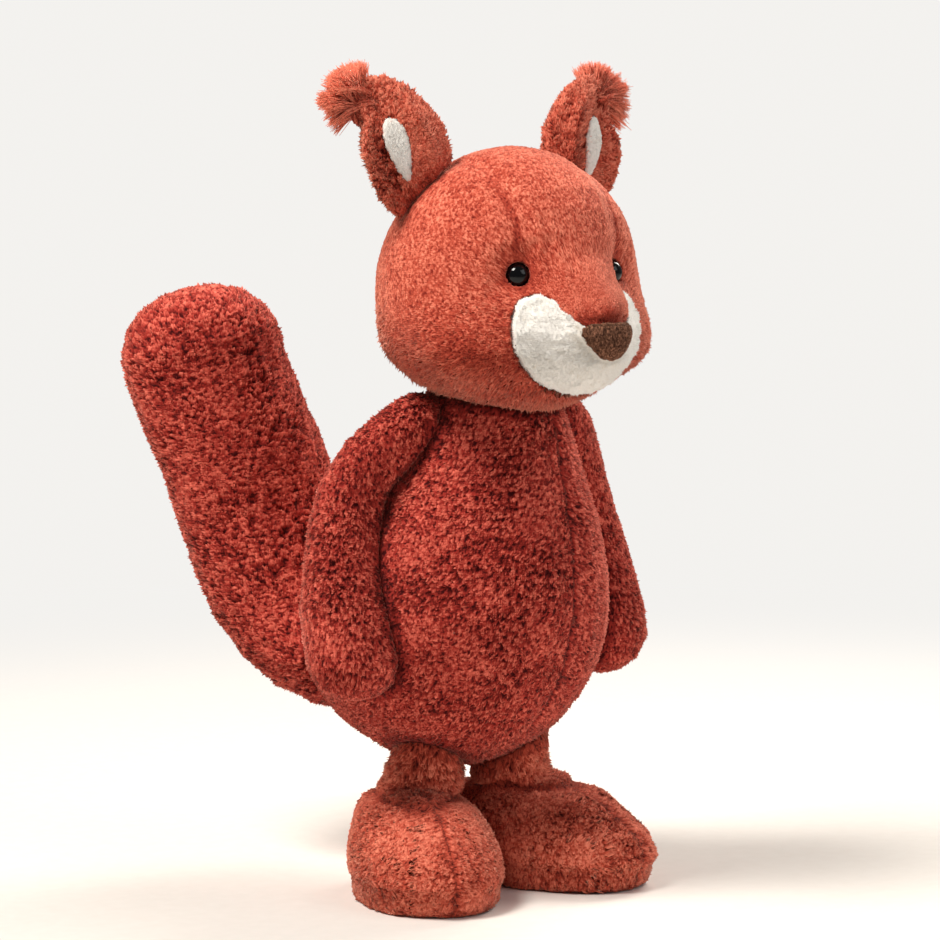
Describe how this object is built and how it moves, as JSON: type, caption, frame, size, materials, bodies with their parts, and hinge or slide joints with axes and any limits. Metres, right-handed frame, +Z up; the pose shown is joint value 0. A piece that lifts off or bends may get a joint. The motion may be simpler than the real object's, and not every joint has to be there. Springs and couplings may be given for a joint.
{
  "type": "plush squirrel",
  "caption": "Standing plush squirrel with stuffed limbs, an upright tail, cupped ears with tufts, a cream muzzle panel and bead eyes.",
  "frame": {"origin": "centre of the bounding box's footprint, on the surface the squirrel stands on", "axes": "+Z up through the body, -Y the way the squirrel faces, +X towards its left side"},
  "size_m": [0.1572, 0.226, 0.3063],
  "materials": {
    "red_plush": "deep pile plush",
    "cream_plush": "short pile plush",
    "brown_suede": "suede cloth",
    "black_bead": "gloss",
    "washer_nylon": "matte",
    "pellet_bag": "pellets in a cloth bag"
  },
  "bodies": {
    "root": {"torso": "red_plush", "head": "red_plush", "muzzle": "cream_plush", "nose": "brown_suede", "eye_left": "black_bead", "eye_right": "black_bead", "eye_washer_left": "washer_nylon", "eye_washer_right": "washer_nylon", "ear_left": "red_plush", "ear_right": "red_plush", "ear_lining_left": "cream_plush", "ear_lining_right": "cream_plush", "ear_tuft_left": "red_plush", "ear_tuft_right": "red_plush", "arm_left": "red_plush", "arm_right": "red_plush", "leg_left": "red_plush", "leg_right": "red_plush", "pellet_bag_left": "pellet_bag", "pellet_bag_right": "pellet_bag", "sole_left": "red_plush", "sole_right": "red_plush", "tail": "red_plush"}
  },
  "joints": []
}
